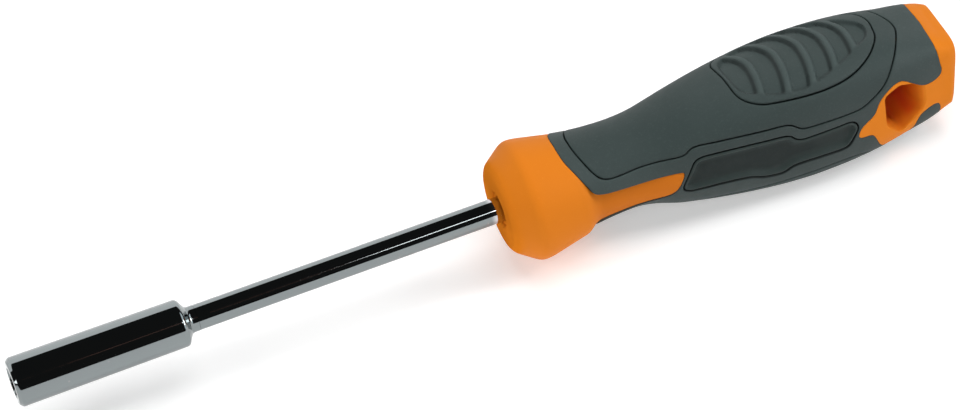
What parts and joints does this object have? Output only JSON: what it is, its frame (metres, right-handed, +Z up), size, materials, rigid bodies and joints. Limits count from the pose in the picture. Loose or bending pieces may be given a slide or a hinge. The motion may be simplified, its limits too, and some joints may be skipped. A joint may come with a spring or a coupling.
{
  "type": "bit holder screwdriver",
  "caption": "Hand screwdriver with a magnetic hexagon bit holder on a round chromed blade, a domed bolster and a soft two-colour grip with a hanging hole.",
  "frame": {"origin": "centre of the tool's bounding box in X and Y, at its lowest point in Z", "axes": "+X along the tool axis from the socket mouth to the handle end, +Z up through the upper thumb pad, Y along the hanging hole"},
  "size_m": [0.2294, 0.0288, 0.0323],
  "materials": {
    "chrome": "polished chrome plating",
    "blade_chrome": "polished chrome plating",
    "spring_steel": "bright spring wire",
    "magnet": "nickel plated",
    "orange_plastic": "satin moulded",
    "grip_frame": "fine matt texture",
    "palm_pad": "fine matt texture",
    "thumb_pad": "matt, ribbed",
    "side_pad": "matt, recessed"
  },
  "bodies": {
    "tool": {"bit_holder_sleeve": "chrome", "socket_magnet": "magnet", "blade_shaft": "blade_chrome", "handle_core": "orange_plastic", "grip_frame": "grip_frame", "upper_palm_panel": "palm_pad", "lower_palm_panel": "palm_pad", "upper_thumb_pad": "thumb_pad", "lower_thumb_pad": "thumb_pad", "right_side_panel": "side_pad", "left_side_panel": "side_pad"},
    "retaining_ring": {"bit_retaining_ring": "spring_steel"}
  },
  "joints": [
    {"name": "retaining_ring_turn", "type": "hinge", "parent": "tool", "child": "retaining_ring", "pos_m": [-0.11035, 0, 0.01613], "axis": [1, 0, 0], "continuous": true}
  ]
}
